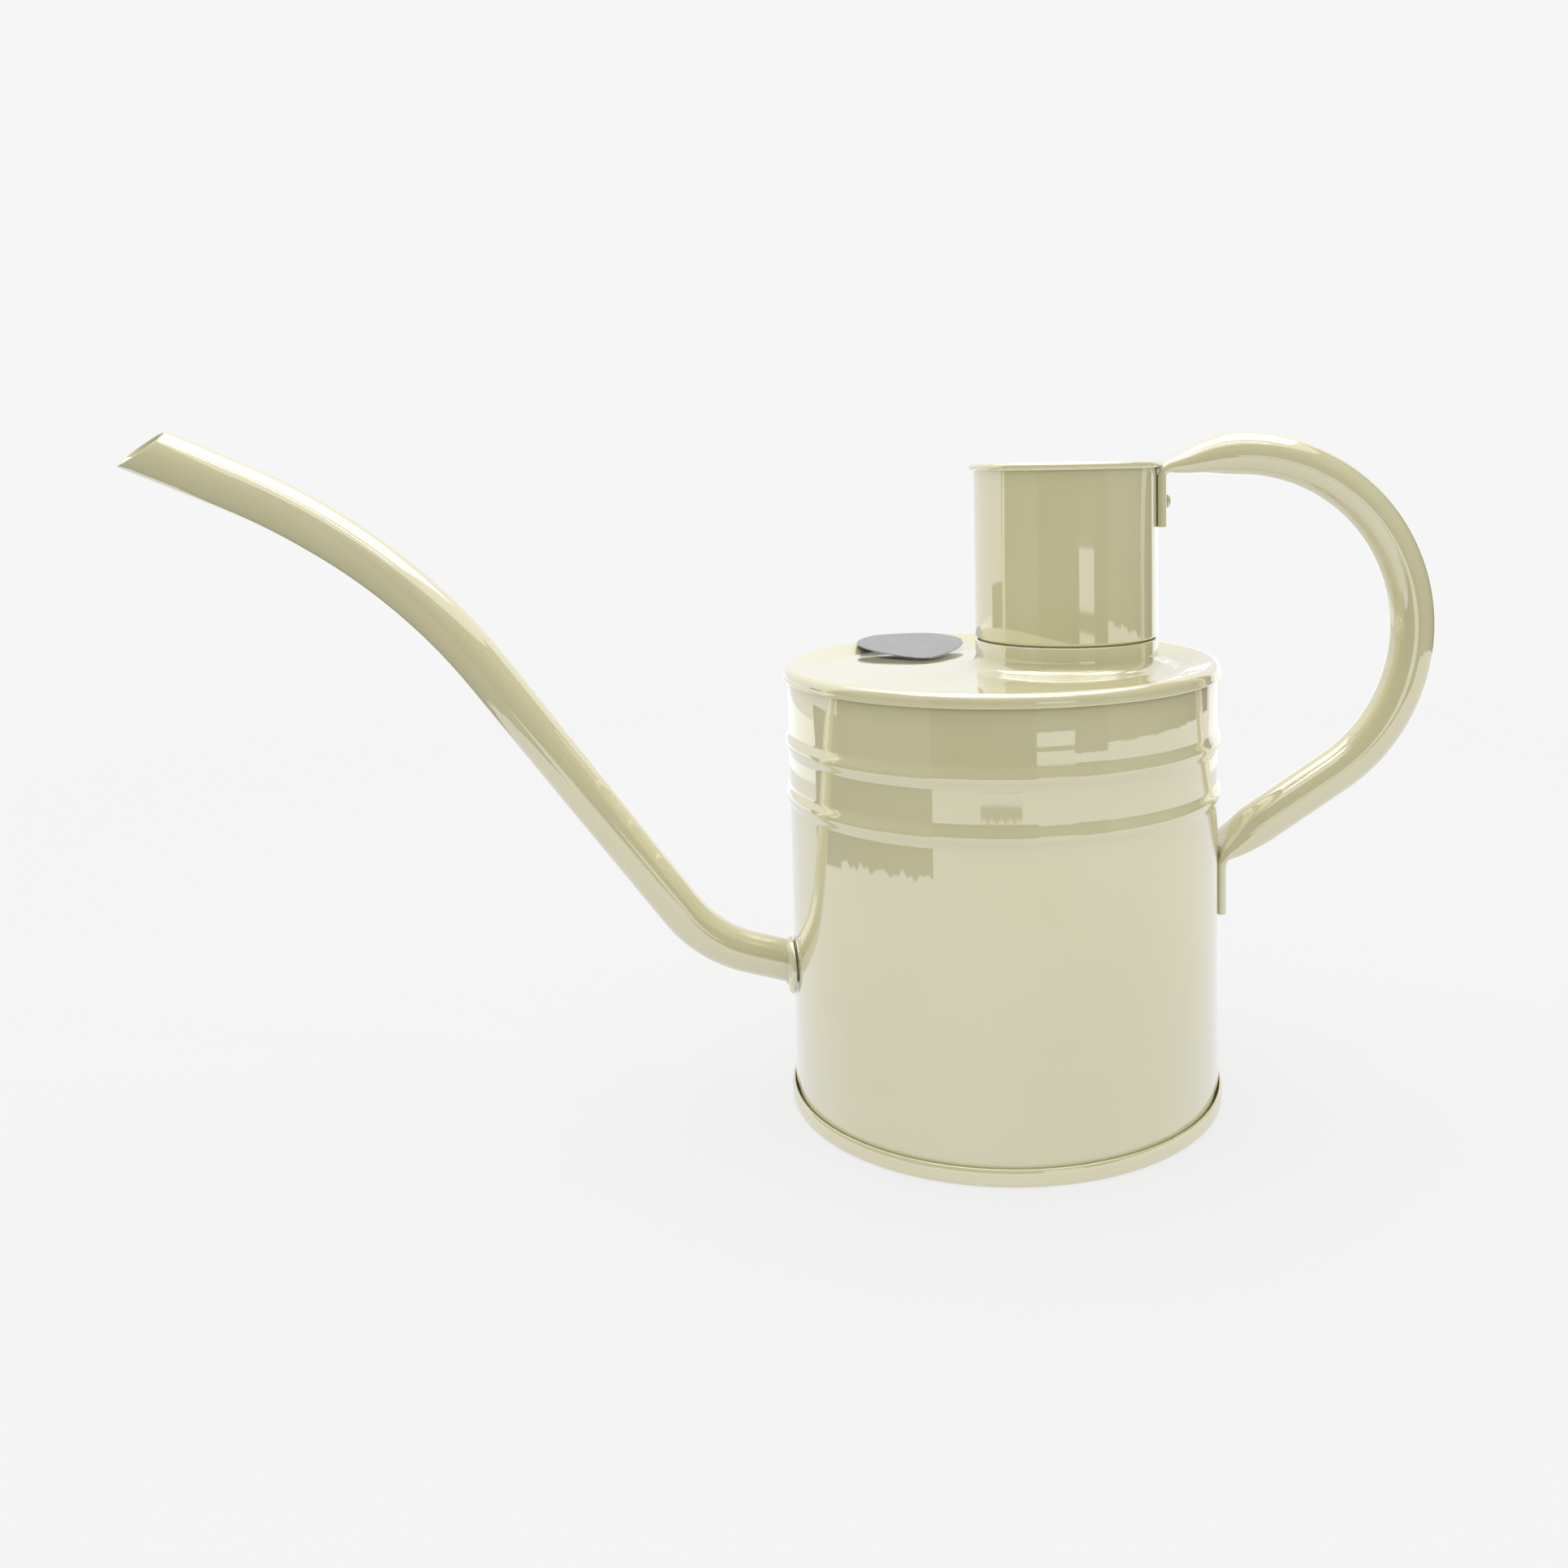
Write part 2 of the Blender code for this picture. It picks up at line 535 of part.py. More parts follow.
def make_rivet(name, wall_in, tab_out, height, head_height, axis_x, parts, enamel):
    """Rivet along X: domed head on the tab, shank, and a flatter tail inside the wall."""
    head, shank = RIVET_HEAD / 2, RIVET_SHANK / 2
    under_head = tab_out + CLEARANCE
    over_tail = wall_in - CLEARANCE
    section = [Vector((head * math.sin(a), under_head + head_height * math.cos(a)))
               for a in (math.pi / 2 * k / 5 for k in range(6))]
    section += [Vector((shank, under_head)), Vector((shank, over_tail)), Vector((head, over_tail))]
    section += [Vector((head * RIVET_TAIL_TAPER, over_tail - RIVET_TAIL_HEIGHT)),
                Vector((0, over_tail - RIVET_TAIL_HEIGHT))]
    rivet = turned(name, section, ROUND_STEPS_RIVET, parts, enamel, closed=False)
    rivet.rotation_euler.y = math.pi / 2
    rivet.location = (axis_x, 0, height)
    return rivet


def make_rivet_cutter(name, wall_in, tab_out, height, axis_x, cutters):
    """Clearance hole for a rivet's shank, along X."""
    start = Vector((axis_x + wall_in - CUTTER_REACH, 0, height))
    end = Vector((axis_x + tab_out + CUTTER_REACH, 0, height))
    radius = RIVET_SHANK / 2 + CLEARANCE
    return cylinder_cutter(name, radius, start, end, ROUND_STEPS_RIVET, cutters)


def make_badge_plate(parts, metal):
    """Thin plate shaped like a rounded shield, its narrow end to the front."""
    outline = bpy.data.curves.new("badge_plate", "CURVE")
    outline.dimensions = "2D"
    outline.fill_mode = "BOTH"
    outline.extrude = BADGE_THICKNESS / 2
    outline.resolution_u = 6
    spline = outline.splines.new("BEZIER")
    room = WALL_RADIUS_TOP - NECK_RADIUS + NECK_OFFSET
    across = BADGE_SHARE * room / 2
    along = across * BADGE_PROPORTION
    spline.bezier_points.add(len(BADGE_SHAPE) - 1)
    for point, (x, y) in zip(spline.bezier_points, BADGE_SHAPE):
        point.co = (x * across, y * along, 0)
        point.handle_left_type = point.handle_right_type = "AUTO"
    spline.use_cyclic_u = True
    badge = bpy.data.objects.new("badge_plate", outline)
    outline.materials.append(metal)
    parts.objects.link(badge)
    x = NECK_OFFSET - NECK_RADIUS - BADGE_GAPS[0] - across
    rim_y = math.sqrt((WALL_RADIUS_TOP - SHEET) ** 2 - x ** 2)
    corner_y = math.sqrt((WALL_RADIUS_TOP - BADGE_CORNER_INSET) ** 2 - (x - across) ** 2)
    y = min(rim_y - BADGE_GAPS[1] - along, corner_y - BADGE_SHAPE[2][1] * along)
    front_z = PANEL_NECK_Z + CLEARANCE + BADGE_THICKNESS / 2
    rim_z = RIM_HEIGHT + 2 * CLEARANCE + BADGE_THICKNESS / 2
    tilt = math.atan2(rim_z - front_z, rim_y - (y - along))
    badge.location = (x, y, front_z + along * math.tan(tilt))
    badge.rotation_euler = (Matrix.Rotation(tilt, 3, "X") @ Matrix.Rotation(BADGE_TURN, 3, "Z")).to_euler()
    return badge


def make_fastened_handle(parts, cutters, enamel, neck, body):
    """Handle, its two rivets and their holes."""
    handle = make_handle_tube(parts, enamel)
    centres = handle_route()[0]
    upper_z = centres[0].y + UPPER_TAB_LENGTH * UPPER_RIVET_PLACE
    lower_z = centres[-1].y + LOWER_TAB_LENGTH * LOWER_RIVET_PLACE
    joints = (("upper", neck, NECK_RADIUS, NECK_OFFSET, upper_z, UPPER_RIVET_HEAD_HEIGHT),
              ("lower", body, WALL_RADIUS_FOOT, 0, lower_z, LOWER_RIVET_HEAD_HEIGHT))
    for end, wall, radius, axis_x, height, head_height in joints:
        wall_in = (radius if end == "upper" else wall_radius(height)) - SHEET
        tab_out = radius + CLEARANCE + TAB_THICKNESS
        cutter = make_rivet_cutter(end + "_rivet_cutter", wall_in, tab_out, height, axis_x, cutters)
        boolean(handle, cutter)
        boolean(wall, cutter)
        make_rivet(end + "_rivet", wall_in, tab_out, height, head_height, axis_x, parts, enamel)
    return handle


def build():
    """Make the whole can."""
    for thing in list(bpy.data.objects):
        bpy.data.objects.remove(thing)
    parts = make_collection(NAME)
    cutters = make_collection("cutters")
    cutters.hide_render = True
    enamel = make_material("cream_enamel", (221, 216, 186), 0.12, 0)
    metal = make_material("badge_metal", (193, 193, 191), 0.35, 1)

    body = make_body_shell(parts, enamel)
    make_base_plate(parts, enamel)
    make_top_plate(parts, enamel)
    neck = make_filler_neck(parts, enamel)
    hole = make_spout_hole_cutter(cutters)
    boolean(body, hole)
    make_spout_tube(parts, cutters, enamel)
    make_spout_flange(parts, cutters, enamel, hole)
    make_fastened_handle(parts, cutters, enamel, neck, body)
    make_badge_plate(parts, metal)


build()
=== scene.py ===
"""Looks of the watering can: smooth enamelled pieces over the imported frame, studio and camera."""

import math

import bpy
import bmesh
from mathutils import Matrix, Vector


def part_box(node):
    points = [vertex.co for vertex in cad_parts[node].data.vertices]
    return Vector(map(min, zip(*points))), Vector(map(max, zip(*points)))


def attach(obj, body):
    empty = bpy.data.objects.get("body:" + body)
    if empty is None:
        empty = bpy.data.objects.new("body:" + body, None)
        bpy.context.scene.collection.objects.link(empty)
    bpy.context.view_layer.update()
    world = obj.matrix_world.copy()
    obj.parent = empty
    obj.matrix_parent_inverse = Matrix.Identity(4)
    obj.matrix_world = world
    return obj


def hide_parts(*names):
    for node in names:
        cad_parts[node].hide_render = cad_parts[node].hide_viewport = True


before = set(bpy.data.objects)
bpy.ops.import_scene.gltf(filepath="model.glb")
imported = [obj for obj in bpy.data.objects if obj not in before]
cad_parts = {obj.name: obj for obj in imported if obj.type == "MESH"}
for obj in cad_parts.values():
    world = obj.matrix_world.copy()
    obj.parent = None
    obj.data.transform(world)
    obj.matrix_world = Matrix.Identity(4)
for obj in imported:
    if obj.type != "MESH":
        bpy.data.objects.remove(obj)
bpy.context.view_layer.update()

MM = 0.001
QUARTER_TURN, HALF_TURN, FULL_TURN = math.pi / 2, math.pi, 2 * math.pi

# Fineness of the meshes
WELD = 0.001 * MM
PINHOLE = 0.02 * MM
SHARPEST_MITRE = 0.5
BODY_SIDES, NECK_SIDES, RIVET_SIDES = 256, 192, 48

# Sheet metal
SHEET = 0.7 * MM
GAP = 0.3 * MM
FOLD = SHEET + GAP

# Sizes taken from the frame
WALL_FOOT_Z, WALL_TOP_Z = (corner.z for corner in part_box("body_shell"))
FOOT_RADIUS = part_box("base_plate")[1].x
FOOT_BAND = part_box("base_plate")[1].z
SKIRT_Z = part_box("top_plate")[0].z
SKIRT_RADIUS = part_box("top_plate")[1].x
SEAM_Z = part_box("top_plate")[1].z
NECK_LOW, NECK_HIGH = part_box("filler_neck")
NECK_AXIS = (NECK_LOW.x + NECK_HIGH.x) / 2
NECK_TOP = NECK_HIGH.z

# Body wall
WALL_FOOT = FOOT_RADIUS - GAP - SHEET
WALL_TOP = SKIRT_RADIUS - GAP - SHEET
RIM_Z = 114.8 * MM
BEADS = (RIM_Z - 33.0 * MM, RIM_Z - 19.4 * MM)
BEAD_HALF = 3.1 * MM
BEAD_RISE = 0.9 * MM
BEAD_SHARPNESS = 1.15
BEAD_STEPS = 12
BEAD_FLATS = (1.5 * MM, 0.6 * MM, 0.2 * MM)

# Base
BASE_RAISED = 1.5 * MM
BASE_CORNER = SHEET * 0.6
HALF_ROUND = FOLD * 0.999
BAND_LEAN = 0.22 * MM

# Lid
RIM_ROUNDING = 1.7 * MM
RIM_SLOPE = math.radians(18)
PANEL_Z = RIM_Z - 2.2 * MM
PANEL_CROWN = 0.7 * MM
PANEL_STEPS = 8
HEM = 0.25 * MM
COLLAR_FILLET = 3.5 * MM

# Neck
NECK_RADIUS = 23.8 * MM
SEAM_STEP = 0.5 * MM
SEAM_EASE = 0.45 * MM
SPIGOT = 8 * MM
CURL = 0.6 * MM
CURL_TURN = math.radians(250)
CURL_STEPS = 16
CURL_RUN_IN = 0.5 * MM

# Spout
SPOUT_TURN = math.radians(6)
SPOUT_Z = 36.7 * MM
SPOUT_FOOT_WIDTH = 10.6 * MM
SPOUT_MOUTH_WIDTH = 12.6 * MM
SPOUT_SIDES = 64
TUBE_WALL = 0.9 * MM
SPOUT_RISES = tuple(math.radians(a) for a in (16.8, 54, 24.8))
SPOUT_RUNS = (12.9 * MM, 79.0 * MM, 23.7 * MM)
SPOUT_BENDS = (32.7 * MM, 148 * MM)
SPOUT_STEPS = (6, 28, 16, 40)
SPOUT_INSET = 1.2 * MM
MOUTH_SLANT = math.radians(38)
MOUTH_TWIST = math.radians(29)
MOUTH_STEPS = 12
MOUTH_EDGE = 0.25 * MM
MOUTH_SHOULDER, MOUTH_SHOULDER_BACK = 0.08 * MM, 0.07 * MM

# Plate round the spout's foot; its profile runs outside in, as (share of width, height)
FLANGE_ACROSS, FLANGE_UP = 17.0 * MM, 14.6 * MM
FLANGE_DROP = 0.7 * MM
FLANGE_THICK, FLANGE_EDGE = 1.3 * MM, 0.5 * MM
FLANGE_CLEARANCE = 0.1 * MM
FLANGE_HOLE_LIFT = 0.25 * MM
FLANGE_SIDES = 128
FLANGE_PROFILE = ((1.0, 0.0), (1.0, FLANGE_EDGE * 0.7), (0.985, FLANGE_EDGE),
                  (0.8, FLANGE_THICK * 0.8), (0.6, FLANGE_THICK), (0.3, FLANGE_THICK),
                  (0.12, FLANGE_THICK * 1.15), (0.03, FLANGE_THICK * 1.35),
                  (0.0, FLANGE_THICK * 1.2), (0.0, 0.0))

# Handle
GRIP_WIDTH = 11.3 * MM
TAB_SEAT = 0.05 * MM
TAB_THICK = 2 * TUBE_WALL + 2 * GAP - TAB_SEAT
GRIP_RADIUS = 46.3 * MM
GRIP_REACH = 109.2 * MM
GRIP_Z = 121.2 * MM
UPPER_SLOPE, LOWER_SLOPE = math.radians(13), math.radians(33.5)
UPPER_TAB, LOWER_TAB = 15.0 * MM, 14.8 * MM
UPPER_BEND, LOWER_BEND = 3.1 * MM, 5.0 * MM
UPPER_TAPER, LOWER_TAPER = 22 * MM, 13 * MM
HUG_FADE = 7 * MM
HANDLE_SIDES = 48
TAB_STEPS, BEND_STEPS, UPPER_STEPS, GRIP_STEPS, LOWER_STEPS = 8, 12, 12, 72, 24

# Rivets; shank and tail widths are shares of the head's
UPPER_DOME, LOWER_DOME = 1.3 * MM, 0.6 * MM
DOME_LAND = 0.15 * MM
DOME_STEPS = 10
SHANK = 0.66
TAIL = 0.8 * MM

# Badge
BADGE_ACROSS, BADGE_ALONG, BADGE_THICK = 15.2 * MM, 20.0 * MM, 0.5 * MM
BADGE_TURN = math.radians(8)
BADGE_X, BADGE_Y = -21.8 * MM, 29.8 * MM
BADGE_EDGE = 0.12 * MM
BADGE_CURVE_STEPS = 12
BADGE_CORNERS = ((0, -1), (0.7, -0.42), (1, 0.32), (0.66, 0.87),
                 (0, 1), (-0.66, 0.87), (-1, 0.32), (-0.7, -0.42))
BADGE_CENTRE = 0.02


# ---- Shapes ------------------------------------------------------------------------------------

def piece(name, mesh, finish, stands_for):
    """New piece in the scene that rides on the can and takes a CAD node's place."""
    thing = bpy.data.objects.new(name, mesh)
    bpy.context.scene.collection.objects.link(thing)
    mesh.materials.append(finish)
    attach(thing, "root")
    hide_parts(stands_for)
    return thing


def skinned(name, rings, looped=True, crease=55):
    """Mesh skinned through rings of points; looped joins the last ring to the first."""
    work = bmesh.new()
    loops = [[work.verts.new(p) for p in ring] for ring in rings]
    pairs = list(zip(loops, loops[1:] + loops[:1] if looped else loops[1:]))
    for here, there in pairs:
        for i in range(len(here)):
            j = (i + 1) % len(here)
            work.faces.new((here[i], here[j], there[j], there[i]))
    if not looped:
        for loop in (loops[0], loops[-1]):
            work.faces.new(loop)
    bmesh.ops.remove_doubles(work, verts=work.verts, dist=WELD)
    bmesh.ops.dissolve_degenerate(work, edges=work.edges, dist=WELD)
    bmesh.ops.recalc_face_normals(work, faces=work.faces)
    if work.calc_volume(signed=True) < 0:
        bmesh.ops.reverse_faces(work, faces=work.faces)
    mesh = bpy.data.meshes.new(name)
    work.to_mesh(mesh)
    work.free()
    mesh.shade_smooth()
    mesh.set_sharp_from_angle(angle=math.radians(crease))
    return mesh


def rounded(corners, segments=8):
    """Polyline through (r, z, fillet radius) corners, with arcs for the fillets."""
    points = [Vector(corners[0][:2])]
    for before, corner, after in zip(corners, corners[1:], corners[2:]):
        middle, radius = Vector(corner[:2]), corner[2]
        towards = (Vector(before[:2]) - middle).normalized()
        onwards = (Vector(after[:2]) - middle).normalized()
        if radius == 0:
            points.append(middle)
            continue
        half = towards.angle(onwards) / 2
        start = middle + towards * (radius / math.tan(half))
        centre = middle + (towards + onwards).normalized() * (radius / math.sin(half))
        sweep = (HALF_TURN - 2 * half) * (1 if towards.cross(onwards) < 0 else -1)
        points += [centre + Matrix.Rotation(sweep * i / segments, 2) @ (start - centre)
                   for i in range(segments + 1)]
    points.append(Vector(corners[-1][:2]))
    return points


def sheet_outline(line, thickness, end_steps=4):
    """Closed outline of sheet metal along a centreline, with its cut edges rounded."""
    left, right = [], []
    for i, point in enumerate(line):
        back = (point - line[i - 1]).normalized() if i else (line[1] - point).normalized()
        ahead = (line[i + 1] - point).normalized() if i + 1 < len(line) else back
        normal = Vector((-(back + ahead).y, (back + ahead).x)).normalized()
        reach = thickness / 2 / max(SHARPEST_MITRE, normal.dot(Vector((-back.y, back.x))))
        left.append(point + normal * reach)
        right.append(point - normal * reach)

    def rounded_edge(tip, side):
        arm = side - tip
        return [tip + Matrix.Rotation(-HALF_TURN * k / end_steps, 2) @ arm
                for k in range(1, end_steps)]

    return left + rounded_edge(line[-1], left[-1]) + right[::-1] + rounded_edge(line[0], right[0])


def turned_rings(section, steps, shift=None):
    """Rings of a section in (r, z) turned round the upright axis, each shifted along X."""
    angles = [FULL_TURN * i / steps for i in range(steps)]
    rings = []
    for point, aside in zip(section, shift or [0] * len(section)):
        radius = max(point.x, PINHOLE)
        rings.append([Vector((aside + radius * math.cos(a), radius * math.sin(a), point.y))
                      for a in angles])
    return rings


def wall_radius(z):
    """Outer radius of the plain wall at height z."""
    return WALL_FOOT + (WALL_TOP - WALL_FOOT) * (z - WALL_FOOT_Z) / (WALL_TOP_Z - WALL_FOOT_Z)


def body_wall(finish):
    """Rolled wall with two soft pressed beads."""
    heights = [WALL_FOOT_Z + SHEET / 2]
    for crest in BEADS:
        heights += [crest - BEAD_HALF - flat for flat in BEAD_FLATS]
        heights += [crest + BEAD_HALF * (k / BEAD_STEPS - 1) for k in range(2 * BEAD_STEPS + 1)]
        heights += [crest + BEAD_HALF + flat for flat in reversed(BEAD_FLATS)]
    heights.append(WALL_TOP_Z - SHEET / 2)
    line = []
    for z in heights:
        near = min(min(abs(z - crest) for crest in BEADS) / BEAD_HALF, 1)
        swell = BEAD_RISE * ((1 + math.cos(HALF_TURN * near)) / 2) ** BEAD_SHARPNESS
        line.append(Vector((wall_radius(z) - SHEET / 2 + swell, z)))
    mesh = skinned("body_wall", turned_rings(sheet_outline(line, SHEET), BODY_SIDES))
    return piece("body_wall", mesh, finish, "body_shell")


def base_pan(finish):
    """Base disc with its edge folded up round the wall's foot."""
    disc = BASE_RAISED + SHEET / 2
    inner = WALL_FOOT - SHEET * 1.5 - GAP
    outer = inner + 2 * FOLD
    ease = 4 * GAP
    line = rounded([(0, disc, 0), (inner, disc, BASE_CORNER), (inner, SHEET / 2, HALF_ROUND),
                    (outer, SHEET / 2, HALF_ROUND), (outer, FOOT_BAND - ease, ease),
                    (outer - BAND_LEAN, FOOT_BAND - SHEET / 2, 0)])
    mesh = skinned("base_pan", turned_rings(sheet_outline(line, SHEET), BODY_SIDES))
    return piece("base_pan", mesh, finish, "base_plate")


def lid(finish):
    """Lid: skirt with a rounded hem, rim, sloped dish, and the collar drawn up round the neck."""
    outer = SKIRT_RADIUS - SHEET / 2
    edge_z, neck_z = PANEL_Z - SHEET / 2, PANEL_Z + PANEL_CROWN - SHEET / 2
    crest_rise = RIM_ROUNDING * (math.tan(RIM_SLOPE) + 1 / math.cos(RIM_SLOPE) - 1)
    corner_z = RIM_Z - SHEET / 2 + crest_rise
    panel_edge = outer - (corner_z - edge_z) / math.tan(RIM_SLOPE)
    collar = NECK_RADIUS - SHEET / 2
    rim = rounded([(outer + HEM, SKIRT_Z + SHEET / 2, 0), (outer, SKIRT_Z + 4 * HEM, 3 * HEM),
                   (outer, corner_z, RIM_ROUNDING), (panel_edge, edge_z, 3 * RIM_ROUNDING),
                   (panel_edge - RIM_ROUNDING, edge_z, 0)], 10)
    fillet_edge = collar + COLLAR_FILLET
    shares = [k / PANEL_STEPS for k in range(1, PANEL_STEPS)]
    panel = [Vector((rim[-1].x + (fillet_edge - rim[-1].x) * t,
                     edge_z + (neck_z - edge_z) * smooth_step(t))) for t in shares]
    top = rounded([(fillet_edge + SHEET, neck_z, 0), (collar, neck_z, COLLAR_FILLET),
                   (collar, SEAM_Z - SHEET / 2, 0)], 12)[1:]
    line = rim + panel + top
    shift = [0] * len(rim) + [NECK_AXIS * t for t in shares] + [NECK_AXIS] * len(top)
    outline = sheet_outline(line, SHEET)
    ends = (len(outline) - 2 * len(line)) // 2
    shifts = shift + [shift[-1]] * ends + shift[::-1] + [shift[0]] * ends
    mesh = skinned("lid", turned_rings(outline, BODY_SIDES, shifts))
    return piece("lid", mesh, finish, "top_plate")


def neck(finish):
    """Filler neck: spigot, shallow groove at the seam, straight tube and rolled lip."""
    tube = NECK_RADIUS - SHEET / 2
    spigot = tube - SHEET - GAP
    curl_z = NECK_TOP - SHEET / 2 - CURL
    step_z = SEAM_Z + GAP
    line = rounded([(spigot, SEAM_Z - SPIGOT, 0), (spigot, step_z, SEAM_EASE),
                    (tube, step_z + SEAM_STEP, SEAM_EASE), (tube, curl_z - CURL_RUN_IN, 0)], 6)
    for k in range(1, CURL_STEPS + 1):
        angle = HALF_TURN - CURL_TURN * k / CURL_STEPS
        line.append(Vector((tube + CURL + CURL * math.cos(angle), curl_z + CURL * math.sin(angle))))
    outline = sheet_outline(line, SHEET)
    mesh = skinned("neck", turned_rings(outline, NECK_SIDES, [NECK_AXIS] * len(outline)))
    return piece("neck", mesh, finish, "filler_neck")


def walk(start, heading, steps):
    """Points and headings along straight runs (length, 0, n) and bends (radius, change, n)."""
    points, headings = [start.copy()], [heading]
    for size, change, count in steps:
        for _ in range(count):
            turn = change / count
            stride = 2 * size * math.sin(abs(turn) / 2) if change else size / count
            middle = heading + turn / 2
            start = start + Vector((math.cos(middle), math.sin(middle))) * stride
            heading += turn
            points.append(start)
            headings.append(heading)
    return points, headings


def running_length(points):
    """Length along a polyline at each of its points."""
    lengths = [0]
    for a, b in zip(points, points[1:]):
        lengths.append(lengths[-1] + (b - a).length)
    return lengths


def smooth_step(t):
    """Soft ramp from 0 to 1."""
    t = min(1, max(0, t))
    return t * t * (3 - 2 * t)


def upright(point):
    """Point of the side view in space, on the can's middle plane."""
    return Vector((point.x, 0, point.y))


def across_way(heading):
    """Direction at right angles to a heading in the side view, in space."""
    return Vector((-math.sin(heading), 0, math.cos(heading)))


def spout(finish):
    """Bent tube with a slanted mouth whose edge is rounded."""
    start = wall_radius(SPOUT_Z) - SHEET - SPOUT_INSET
    foot = Vector((start, SPOUT_Z - (WALL_FOOT - start) * math.tan(SPOUT_RISES[0])))
    low, high, last = SPOUT_RISES
    foot_steps, low_steps, run_steps, high_steps = SPOUT_STEPS
    centres, headings = walk(foot, low, (
        (SPOUT_RUNS[0] + SPOUT_INSET, 0, foot_steps), (SPOUT_BENDS[0], high - low, low_steps),
        (SPOUT_RUNS[1], 0, run_steps), (SPOUT_BENDS[1], last - high, high_steps),
        (SPOUT_RUNS[2], 0, 1)))
    along = running_length(centres)
    tip = upright(centres[-1])
    onward = Vector((math.cos(headings[-1]), 0, math.sin(headings[-1])))
    facing = Vector((math.sin(MOUTH_SLANT) * math.cos(MOUTH_TWIST),
                     math.sin(MOUTH_SLANT) * math.sin(MOUTH_TWIST), math.cos(MOUTH_SLANT)))
    angles = [FULL_TURN * k / SPOUT_SIDES for k in range(SPOUT_SIDES)]

    def ring(i, shrink):
        width = SPOUT_FOOT_WIDTH + (SPOUT_MOUTH_WIDTH - SPOUT_FOOT_WIDTH) * along[i] / along[-1]
        radius = width / 2 - shrink
        normal, middle = across_way(headings[i]), upright(centres[i])
        return [middle + normal * radius * math.sin(a) + Vector((0, radius * math.cos(a), 0))
                for a in angles]

    def mouth(shrink, back):
        """The last ring slid along its run on to the plane of the mouth, or that far behind it."""
        return [p + onward * ((tip - p).dot(facing) / onward.dot(facing) - back)
                for p in ring(len(centres) - 1, shrink)]

    bend_end = len(centres) - 2
    outside, inside = [], []
    for rings, shrink in ((outside, 0), (inside, TUBE_WALL)):
        rings += [ring(i, shrink) for i in range(bend_end + 1)]
        near, far = ring(bend_end, shrink), mouth(shrink, MOUTH_EDGE)
        rings += [[a.lerp(b, k / MOUTH_STEPS) for a, b in zip(near, far)]
                  for k in range(1, MOUTH_STEPS + 1)]
    edge = [mouth(shrink, back) for shrink, back in (
        (MOUTH_SHOULDER, MOUTH_SHOULDER_BACK), (MOUTH_EDGE, 0), (TUBE_WALL - MOUTH_EDGE, 0),
        (TUBE_WALL - MOUTH_SHOULDER, MOUTH_SHOULDER_BACK))]
    turn = Matrix.Rotation(HALF_TURN + SPOUT_TURN, 3, "Z")
    rings = [[turn @ p for p in r] for r in outside + edge + inside[::-1]]
    return piece("spout", skinned("spout", rings), finish, "spout_tube")


def flange(finish):
    """Oval plate that hugs the wall round the spout's foot, slimmer towards its edge."""
    middle_z = SPOUT_Z - FLANGE_DROP
    base = wall_radius(middle_z - FLANGE_UP / 2) + GAP
    hole = SPOUT_FOOT_WIDTH / 2 + FLANGE_CLEARANCE
    tilt = math.cos(SPOUT_RISES[0])
    rings = []
    for share, height in FLANGE_PROFILE:
        points = []
        for k in range(FLANGE_SIDES):
            a = FULL_TURN * k / FLANGE_SIDES
            inner = Vector((hole * math.cos(a),
                            hole * math.sin(a) / tilt + FLANGE_DROP + FLANGE_HOLE_LIFT))
            outer = Vector((FLANGE_ACROSS / 2 * math.cos(a), FLANGE_UP / 2 * math.sin(a)))
            spot = inner.lerp(outer, share)
            radius = base + height
            turn = HALF_TURN + SPOUT_TURN + spot.x / base
            points.append(Vector((radius * math.cos(turn), radius * math.sin(turn),
                                  middle_z + spot.y)))
        rings.append(points)
    return piece("spout_plate", skinned("spout_plate", rings), finish, "spout_flange")


def handle_route():
    """Centreline of the handle from its upper tab's end to the lower one's."""
    upper_x = NECK_AXIS + NECK_RADIUS + TAB_SEAT + TAB_THICK / 2
    grip_x = GRIP_REACH - GRIP_RADIUS
    top = Vector((grip_x - GRIP_RADIUS * math.sin(UPPER_SLOPE),
                  GRIP_Z + GRIP_RADIUS * math.cos(UPPER_SLOPE)))
    upper_z = top.y - (top.x - upper_x) * math.tan(UPPER_SLOPE)
    bend_up = QUARTER_TURN - UPPER_SLOPE
    upper_cut = UPPER_BEND * math.tan(bend_up / 2)
    bottom_x = grip_x + GRIP_RADIUS * math.sin(LOWER_SLOPE)
    lower_x = WALL_FOOT + TAB_SEAT + TAB_THICK / 2
    bend_down = QUARTER_TURN - LOWER_SLOPE
    lower_cut = LOWER_BEND * math.tan(bend_down / 2)
    upper_run = (top.x - upper_x) / math.cos(UPPER_SLOPE)
    lower_run = (bottom_x - lower_x) / math.cos(LOWER_SLOPE)
    steps = ((UPPER_TAB - upper_cut, 0, TAB_STEPS), (UPPER_BEND, -bend_up, BEND_STEPS),
             (upper_run - upper_cut, 0, UPPER_STEPS),
             (GRIP_RADIUS, LOWER_SLOPE - UPPER_SLOPE - HALF_TURN, GRIP_STEPS),
             (lower_run - lower_cut, 0, LOWER_STEPS), (LOWER_BEND, bend_down, BEND_STEPS),
             (LOWER_TAB - lower_cut, 0, TAB_STEPS))
    centres, headings = walk(Vector((upper_x, upper_z - UPPER_TAB)), QUARTER_TURN, steps)
    along = running_length(centres)
    upper_end = UPPER_TAB - upper_cut + UPPER_BEND * bend_up / 2
    lower_end = along[-1] - (LOWER_TAB - lower_cut + LOWER_BEND * bend_down / 2)
    return centres, headings, along, upper_end, lower_end


